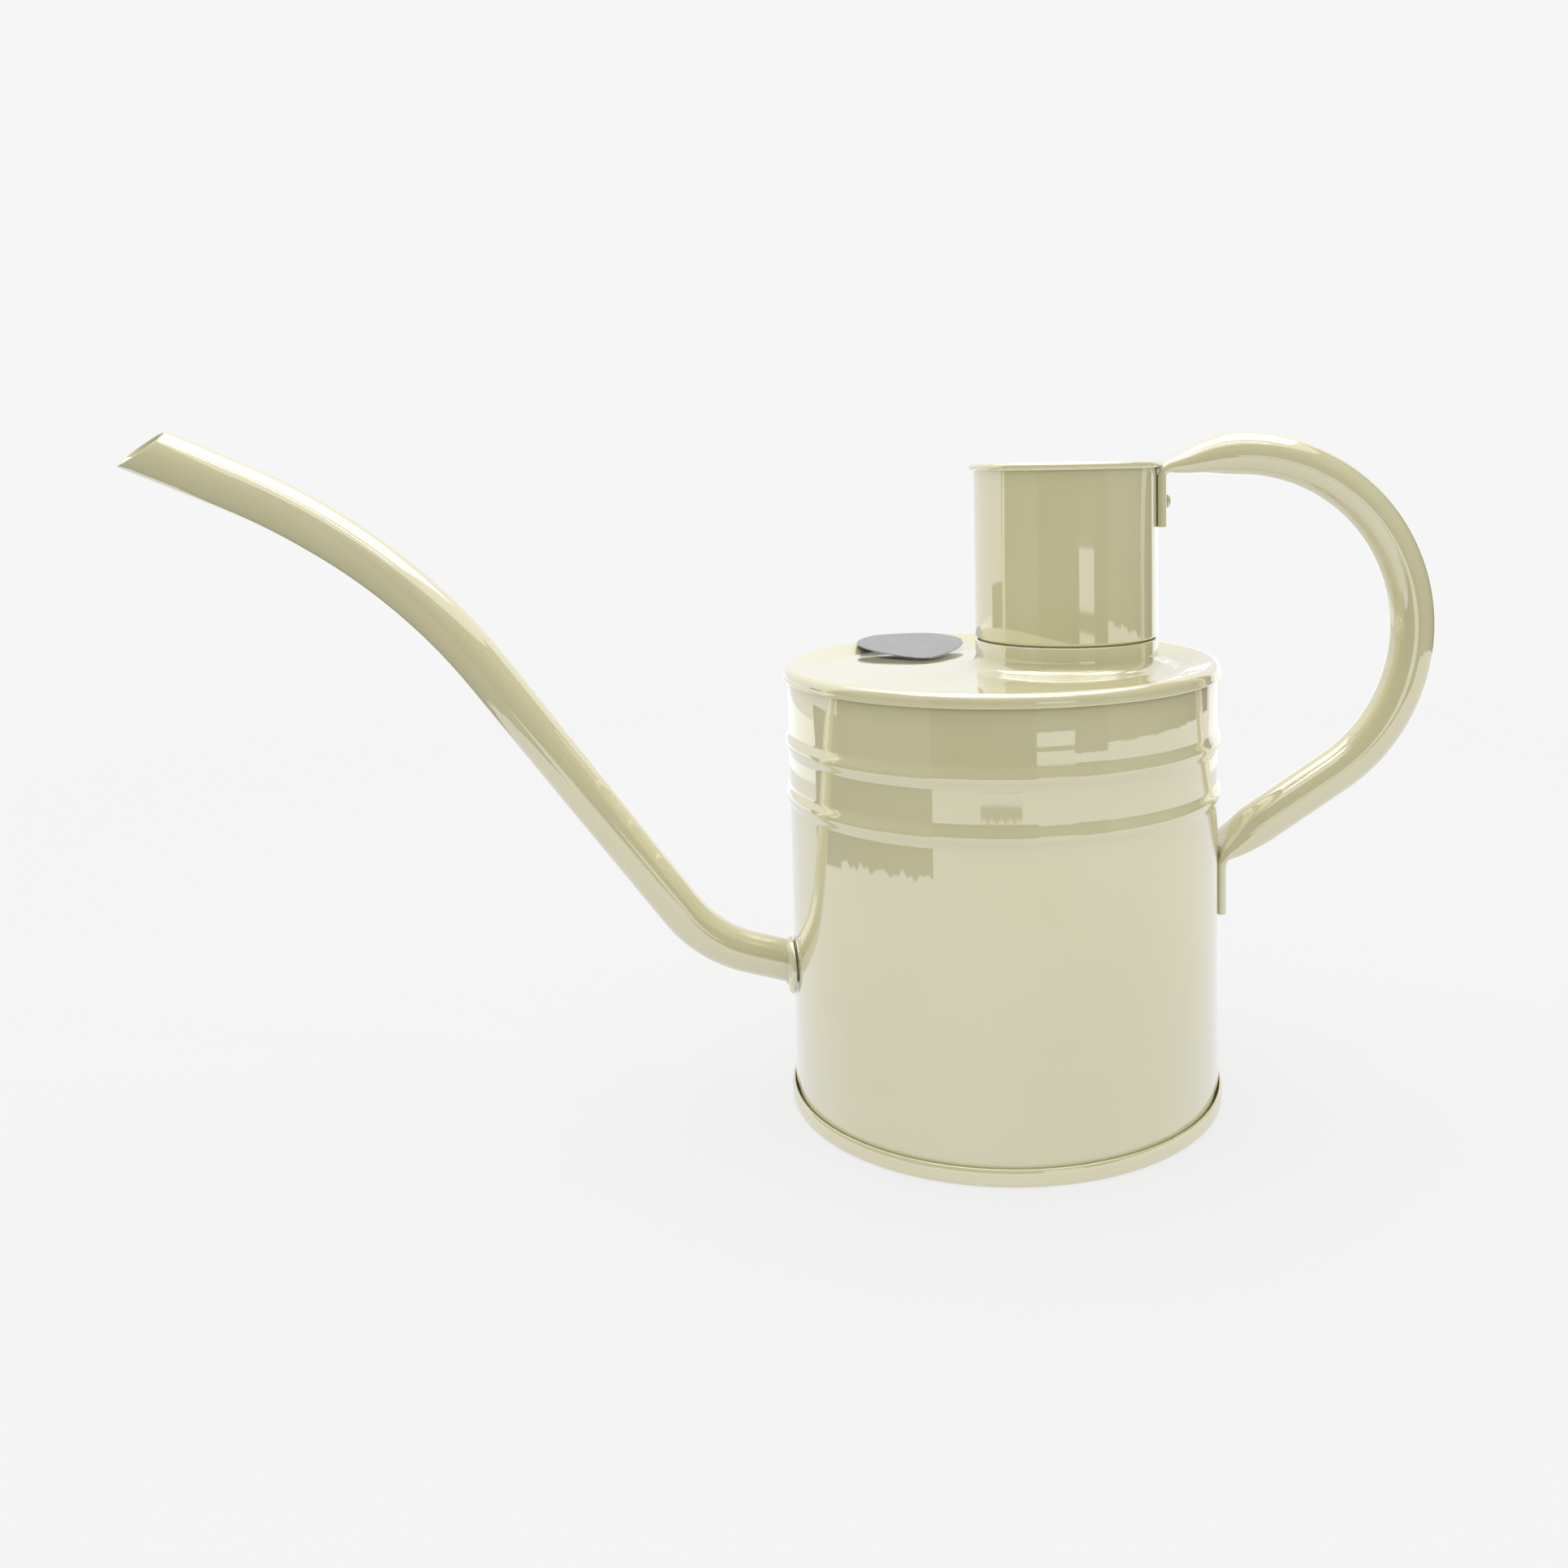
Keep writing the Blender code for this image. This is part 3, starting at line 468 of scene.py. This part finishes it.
def handle(finish):
    """Round tube pressed flat at both ends, which curve round the neck and the wall."""
    centres, headings, along, upper_end, lower_end = handle_route()
    girth = math.pi * GRIP_WIDTH
    pressed_flat = (girth - math.pi * TAB_THICK) / 2
    eighth = HANDLE_SIDES // 8
    step = FULL_TURN / HANDLE_SIDES
    seat = TAB_SEAT + TAB_THICK / 2
    neck_hug, wall_hug = NECK_RADIUS + seat, WALL_FOOT + seat

    def ring(i, shrink):
        from_upper, from_lower = along[i] - upper_end, lower_end - along[i]
        past = max(0, min(from_upper / UPPER_TAPER, from_lower / LOWER_TAPER, 1))
        thick = TAB_THICK + (GRIP_WIDTH - TAB_THICK) * math.sin(QUARTER_TURN * past)
        flat = (girth - math.pi * thick) / 2
        pressed = flat / pressed_flat
        sweep = step * (eighth + eighth * pressed)
        radius = thick / 2 - shrink
        normal, middle = across_way(headings[i]), upright(centres[i])
        upper = smooth_step(1 - max(0, from_upper) / HUG_FADE)
        lower = smooth_step(1 - max(0, from_lower) / HUG_FADE)
        hug, share = (neck_hug, upper) if upper > lower else (wall_hug, lower)
        points = []
        for side in (1, -1):
            for k in range(-eighth, eighth + 1):
                a = side * sweep * k / eighth
                points.append((side * (flat / 2 + radius * math.cos(a)), radius * math.sin(a)))
            for k in range(1 - eighth, eighth):
                lean = step * (1 - pressed) * k
                points.append((-side * (flat / (2 * eighth) * k + radius * math.sin(lean)),
                               side * radius * math.cos(lean)))
        placed = []
        for across, up in points:
            p = middle + normal * up + Vector((0, across, 0))
            back = hug - math.sqrt(hug ** 2 - p.y ** 2)
            placed.append(p - Vector((back * share, 0, 0)))
        return placed

    outside, inside = ([ring(i, shrink) for i in range(len(centres))]
                       for shrink in (0, TUBE_WALL))
    return piece("handle", skinned("handle", outside + inside[::-1]), finish, "handle_tube")


def rivet(name, node, finish, dome):
    """Domed rivet head with a rounded edge on its shank, tail inside."""
    low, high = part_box(node)
    middle = (low + high) / 2
    head = (high.z - low.z) / 2
    under, tail = high.x - dome, low.x + TAIL
    section = [Vector((head * math.sin(a), under + DOME_LAND + (dome - DOME_LAND) * math.cos(a)))
               for a in (QUARTER_TURN * k / DOME_STEPS for k in range(DOME_STEPS + 1))]
    section += [Vector((head * share, x)) for share, x in (
        (0.98, under + DOME_LAND / 3), (0.94, under), (SHANK, under), (SHANK, tail), (1, tail),
        (0.95, low.x + TAIL * 0.4), (0.7, low.x), (0, low.x))]
    lay = Matrix.Rotation(QUARTER_TURN, 3, "Y")
    rings = [[lay @ p + Vector((0, middle.y, middle.z)) for p in r]
             for r in turned_rings(section, RIVET_SIDES)]
    return piece(name, skinned(name, rings, looped=False), finish, node)


def soft_outline(corners, steps):
    """Smooth closed curve through the corners."""
    outline = []
    for i in range(len(corners)):
        p0, p1, p2, p3 = (Vector(corners[(i + k) % len(corners)]) for k in (-1, 0, 1, 2))
        for k in range(steps):
            t = k / steps
            outline.append(0.5 * (2 * p1 + (p2 - p0) * t + (2 * p0 - 5 * p1 + 4 * p2 - p3) * t * t
                                  + (3 * p1 - p0 - 3 * p2 + p3) * t ** 3))
    return outline


def badge(finish):
    """Thin shield-shaped plate with a softened edge, lying with its back over the rim."""
    half = BADGE_THICK / 2
    rim_y = math.sqrt((WALL_TOP - SHEET) ** 2 - BADGE_X ** 2)
    front_z = PANEL_Z + PANEL_CROWN + GAP + half
    tilt = math.atan2(RIM_Z + 2 * GAP + half - front_z, rim_y - (BADGE_Y - BADGE_ALONG))
    place = Vector((BADGE_X, BADGE_Y, front_z + BADGE_ALONG * math.tan(tilt)))
    lean = Matrix.Rotation(tilt, 3, "X") @ Matrix.Rotation(BADGE_TURN, 3, "Z")
    outline = soft_outline(BADGE_CORNERS, BADGE_CURVE_STEPS)
    levels = [(BADGE_CENTRE, -half), (0.97, -half), (1, BADGE_EDGE - half), (1, half - BADGE_EDGE),
              (1 - BADGE_EDGE * 0.4 / BADGE_ACROSS, half - BADGE_EDGE * 0.3),
              (1 - BADGE_EDGE * 1.2 / BADGE_ACROSS, half)]
    levels += [(size, half) for size in (0.9, 0.75, 0.5, 0.25, BADGE_CENTRE)]
    rings = [[lean @ Vector((p.x * BADGE_ACROSS * size, p.y * BADGE_ALONG * size, z)) + place
              for p in outline] for size, z in levels]
    mesh = skinned("badge", rings, looped=False, crease=70)
    return piece("badge", mesh, finish, "badge_plate")


# ---- Finishes ----------------------------------------------------------------------------------

class Signal:
    """A node's output that can be used in sums."""

    def __init__(self, nodes, socket):
        self.nodes, self.socket = nodes, socket

    def maths(self, operation, other):
        """Sum of this value and another."""
        return self.nodes.node("ShaderNodeMath", {"operation": operation}, {0: self, 1: other})

    def __add__(self, other):
        return self.maths("ADD", other)

    def __mul__(self, other):
        return self.maths("MULTIPLY", other)

    __radd__, __rmul__ = __add__, __mul__

    def spread(self, low, high, to_low=0.0, to_high=1.0):
        """Soft ramp of the value from low-high to to_low-to_high."""
        return self.nodes.node("ShaderNodeMapRange", {"interpolation_type": "SMOOTHSTEP"},
                               {0: self, 1: low, 2: high, 3: to_low, 4: to_high})


class Nodes:
    """A node tree whose nodes are made in maker's terms."""

    def __init__(self, tree):
        self.tree = tree

    def node(self, kind, settings, sockets, output=0):
        """New node: its settings first, then the values or links of its sockets."""
        made = self.tree.nodes.new(kind)
        for key, value in settings.items():
            if key == "stops":
                for stop, (position, colour) in zip(made.color_ramp.elements, value):
                    stop.position, stop.color = position, (*colour, 1)
            else:
                setattr(made, key, value)
        for key, value in sockets.items():
            self.feed(made.inputs[key], value)
        return Signal(self, made.outputs[output])

    def feed(self, socket, value):
        """Value or link into one socket."""
        if isinstance(value, Signal):
            self.tree.links.new(value.socket, socket)
        elif socket.type == "RGBA":
            socket.default_value = (*value, 1)
        elif value is not None:
            socket.default_value = value


class Finish(Nodes):
    """A material for one finish."""

    def __init__(self, name):
        self.material = bpy.data.materials.new(name)
        self.material.use_nodes = True
        super().__init__(self.material.node_tree)
        self.shader = self.tree.nodes["Principled BSDF"]

    def place(self, stretch=(1, 1, 1)):
        """Place on the piece in metres, stretched."""
        spot = self.node("ShaderNodeTexCoord", {}, {}, "Object")
        return self.node("ShaderNodeVectorMath", {"operation": "MULTIPLY"}, {0: spot, 1: stretch})

    def grain(self, scale, detail=2.0, roughness=0.5, stretch=(1, 1, 1)):
        """Soft noise from 0 to 1 with that many lumps to the metre."""
        return self.node("ShaderNodeTexNoise", {}, {
            "Vector": self.place(stretch), "Scale": scale, "Detail": detail,
            "Roughness": roughness})

    def blend(self, share, colour_a, colour_b):
        """Colour between two by share."""
        return self.node("ShaderNodeMix", {"data_type": "RGBA"},
                         {0: share, 6: colour_a, 7: colour_b}, 2)

    def relief(self, height, depth, under=None):
        """Bump of that depth in metres."""
        return self.node("ShaderNodeBump", {}, {
            "Strength": 1.0, "Distance": depth, "Height": height, "Normal": under})

    def set(self, **sockets):
        """Values or links on the shader's own sockets."""
        for name, value in sockets.items():
            self.feed(self.shader.inputs[name.replace("_", " ")], value)
        return self.material


def linear(red, green, blue):
    """Linear colour from 0-255 sRGB, none of them near black."""
    return tuple(((c / 255 + 0.055) / 1.055) ** 2.4 for c in (red, green, blue))


ENAMEL, ENAMEL_DEEP = linear(213, 207, 168), linear(209, 203, 162)
ENAMEL_SPECK, SPECK_SHOWS = linear(196, 189, 148), 0.3
ALUMINIUM_DARK, ALUMINIUM_LIGHT = linear(150, 151, 154), linear(186, 186, 186)
PALE = linear(246, 246, 246)

# Lumps to the metre
CLOUDS, SPECKS, PEEL, WAVES, GLOSS_PATCHES = 22, 1400, 260, 26, 60
BRUSH_LINES, WEAR = 60, 180

PEEL_DEPTH, WAVE_DEPTH, BRUSH_DEPTH = 0.003 * MM, 0.22 * MM, 0.01 * MM
SMOOTHEST, DULLEST = 0.03, 0.055
BRUSHED_SMOOTHEST, BRUSHED_DULLEST = 0.28, 0.42


def enamel(name, ripple=(1, 1, 1), wave=1.0):
    """Glossy cream enamel: faint clouding, specks, orange peel, and slow waves in the sheet."""
    finish = Finish(name)
    cloud = finish.grain(CLOUDS, 4, 0.55)
    speck = finish.grain(SPECKS, 1, 0.4).spread(0.71, 0.76)
    tint = finish.blend(cloud.spread(0.3, 0.7), ENAMEL, ENAMEL_DEEP)
    waves = finish.relief(finish.grain(WAVES, 2, 0.45, ripple), WAVE_DEPTH * wave)
    return finish.set(
        Base_Color=finish.blend(speck * SPECK_SHOWS, tint, ENAMEL_SPECK),
        Normal=finish.relief(finish.grain(PEEL, 1, 0.4), PEEL_DEPTH, waves),
        Roughness=finish.grain(GLOSS_PATCHES, 3, 0.6).spread(0.25, 0.8, SMOOTHEST, DULLEST),
        IOR=2.2, Coat_Weight=1.0, Coat_Roughness=0.03, Coat_IOR=1.7)


def badge_metal():
    """Satin aluminium, finely brushed across."""
    finish = Finish("badge aluminium")
    brushed = finish.grain(BRUSH_LINES, 4, 0.7, (1, 60, 1))
    worn = finish.grain(WEAR, 3, 0.6)
    dullness = brushed * 0.12 + worn * 0.1
    return finish.set(
        Base_Color=finish.blend(brushed.spread(0.3, 0.7), ALUMINIUM_DARK, ALUMINIUM_LIGHT),
        Metallic=1.0, Normal=finish.relief(brushed, BRUSH_DEPTH),
        Roughness=dullness.spread(0, 0.2, BRUSHED_SMOOTHEST, BRUSHED_DULLEST))


# ---- Studio ------------------------------------------------------------------------------------

FLOOR_HALF = 20
FLOOR_TAKES, FLOOR_GLOWS = (0.12,) * 3, (0.745,) * 3
EVEN_FROM, EVEN_BEYOND = 0.3, 1.0
BLACK = (0, 0, 0)
HORIZON = (0.75, 0.75, 0.73)
LAMP_AIM, SMALL_LAMP_AIM = (0, 0, 0.1), (0, 0, 0.08)
SMALL_LAMP_Z, SMALL_LAMP_SIZE = 0.85, (0.11, 0.05)

# Small lamps: bearing in degrees from the front, and power
SMALL_LAMPS = ((19, 0.25), (35, 0.25), (-14, 0.1))

# Cards seen in the gloss: first and last bearing, distance, foot, top, shade, raggedness
CARDS = {
    "far left": (-110, -90, 0.262, 0.0, 0.10, 0.15, 0.0),
    "left": (-90, -37, 0.262, 0.0, 0.5, 0.11, 0.004),
    "front": (-41, 11, 0.36, 0.028, 0.5, 0.0, 0.0),
    "low front": (-15, 4, 0.36, 0.006, 0.015, 0.15, 0.002),
    "window sill": (11, 29, 0.36, 0.052, 0.066, 0.05, 0.001),
    "window head": (11, 29, 0.36, 0.104, 0.5, 0.05, 0.0),
    "front right": (29, 46, 0.36, 0.042, 0.5, 0.02, 0.002),
    "right": (46, 122, 0.36, 0.060, 0.5, 0.11, 0.003),
    "bright right": (127, 172, 0.42, 0.0, 0.16, 1.25, 0.0),
    "bright left": (-172, -114, 0.42, 0.0, 0.06, 1.3, 0.0),
}
CARD_STEPS = 24
CARD_TINT = (1, 1, 0.97)


def card_finish(name, shade):
    """Card that glows evenly and reflects next to nothing."""
    return Finish(name).set(
        Base_Color=BLACK, Roughness=0.9, Specular_IOR_Level=0.0,
        Emission_Color=tuple(shade * tint for tint in CARD_TINT), Emission_Strength=1.0)


def floor_finish():
    """Pale floor that takes a soft shadow near the can and evens out farther off."""
    finish = Finish("floor")
    away = finish.node("ShaderNodeVectorMath", {"operation": "LENGTH"}, {0: finish.place()},
                       "Value")
    far = away.spread(EVEN_FROM, EVEN_BEYOND)
    return finish.set(
        Base_Color=finish.blend(far, FLOOR_TAKES, BLACK),
        Emission_Color=finish.blend(far, FLOOR_GLOWS, PALE), Emission_Strength=1.0,
        Roughness=finish.grain(3, 2) * 0.004 + 0.9, Specular_IOR_Level=0.0)


def staged(name, points, faces, material):
    """Floor or card that isn't part of the can."""
    mesh = bpy.data.meshes.new(name)
    mesh.from_pydata(points, [], faces)
    mesh.materials.append(material)
    thing = bpy.data.objects.new(name, mesh)
    bpy.context.scene.collection.objects.link(thing)
    thing.visible_diffuse = False
    return thing


def from_front(bearing, distance):
    """Place at a bearing in radians from the front, as (x, y)."""
    return distance * math.sin(bearing), -distance * math.cos(bearing)


def reflector(name, start, end, near, low, high, shade, ragged):
    """Curved upright card, seen only in the gloss, between two bearings from the front."""
    bearings = [math.radians(start + (end - start) * k / CARD_STEPS) for k in range(CARD_STEPS + 1)]
    foot = [low + ragged * (1 + math.sin(2.3 * k) * math.cos(1.1 * k))
            for k in range(CARD_STEPS + 1)]
    points = [(*from_front(a, near), z) for a, z in zip(bearings, foot)]
    points += [(*from_front(a, near), high) for a in bearings]
    faces = [(k, k + 1, CARD_STEPS + 2 + k, CARD_STEPS + 1 + k) for k in range(CARD_STEPS)]
    card = staged(name, points, faces, card_finish(name, shade))
    card.visible_camera = False
    card.visible_shadow = False


def lamp(name, place, aim, size, power):
    """Soft rectangular light."""
    light = bpy.data.lights.new(name, "AREA")
    light.shape = "RECTANGLE"
    light.size, light.size_y = size
    light.energy = power
    thing = bpy.data.objects.new(name, light)
    thing.location = place
    thing.rotation_euler = (Vector(aim) - Vector(place)).to_track_quat("-Z", "Y").to_euler()
    bpy.context.scene.collection.objects.link(thing)


def surroundings():
    """Even pale surroundings, a little darker towards the floor."""
    world = bpy.data.worlds.new("studio")
    bpy.context.scene.world = world
    world.use_nodes = True
    nodes = Nodes(world.node_tree)
    way = nodes.node("ShaderNodeTexCoord", {}, {}, "Generated")
    upward = nodes.node("ShaderNodeSeparateXYZ", {}, {0: way}, "Z")
    shade = nodes.node("ShaderNodeValToRGB", {"stops": ((0.0, HORIZON), (0.5, PALE))},
                       {0: upward * 0.5 + 0.5})
    nodes.feed(nodes.tree.nodes["Background"].inputs["Color"], shade)


def studio():
    """Pale floor, even pale surroundings, soft lights and grey cards for the gloss."""
    bpy.context.scene.view_settings.view_transform = "Standard"
    half = FLOOR_HALF
    staged("floor", [(-half, -half, 0), (half, -half, 0), (half, half, 0), (-half, half, 0)],
           [(0, 1, 2, 3)], floor_finish())
    surroundings()
    lamp("overhead softbox", (0.0, 0.25, 1.3), LAMP_AIM, (1.6, 1.2), 11)
    lamp("strip lamp", (-0.1, -0.30, 1.0), LAMP_AIM, (1.2, 0.03), 0.7)
    for bearing, power in SMALL_LAMPS:
        place = (*from_front(math.radians(bearing), 1), SMALL_LAMP_Z)
        lamp("small lamp %d" % bearing, place, SMALL_LAMP_AIM, SMALL_LAMP_SIZE, power)
    for place, sizes in CARDS.items():
        reflector("card " + place, *sizes)


CAMERA_PLACE = (-0.034389, -0.371754, 0.168268)
YAW, PITCH, ROLL = 0.0220, 0.0781, -0.0181
LENS, SENSOR = 32.787, 36
SHIFT_X, SHIFT_Y = -0.07312, -0.13768


def camera():
    """Camera at the fixed viewing angle, looking at the can from the front and a little above.
    Camera at the viewing angle from which the can is judged.
    """
    ahead = Vector((math.sin(YAW) * math.cos(PITCH), math.cos(YAW) * math.cos(PITCH),
                    -math.sin(PITCH)))
    level = Vector((math.cos(YAW), -math.sin(YAW), 0))
    over = level.cross(ahead)
    right = level * math.cos(ROLL) + over * math.sin(ROLL)
    upward = over * math.cos(ROLL) - level * math.sin(ROLL)
    data = bpy.data.cameras.new("camera")
    data.sensor_width, data.lens = SENSOR, LENS
    data.shift_x, data.shift_y = SHIFT_X, SHIFT_Y
    thing = bpy.data.objects.new("camera", data)
    thing.matrix_world = Matrix((right, upward, -ahead)).transposed().to_4x4()
    thing.location = CAMERA_PLACE
    bpy.context.scene.collection.objects.link(thing)
    bpy.context.scene.camera = thing


def build():
    """All pieces of the can."""
    sheet_enamel = enamel("enamel on rolled sheet", (1, 1, 0.35))
    pressed_enamel = enamel("enamel on pressed parts")
    tube_enamel = enamel("enamel on tube", wave=0.5)
    body_wall(sheet_enamel)
    base_pan(pressed_enamel)
    lid(pressed_enamel)
    neck(sheet_enamel)
    spout(tube_enamel)
    flange(pressed_enamel)
    handle(tube_enamel)
    rivet("rivet_upper", "upper_rivet", tube_enamel, UPPER_DOME)
    rivet("rivet_lower", "lower_rivet", tube_enamel, LOWER_DOME)
    badge(badge_metal())


build()
studio()
camera()
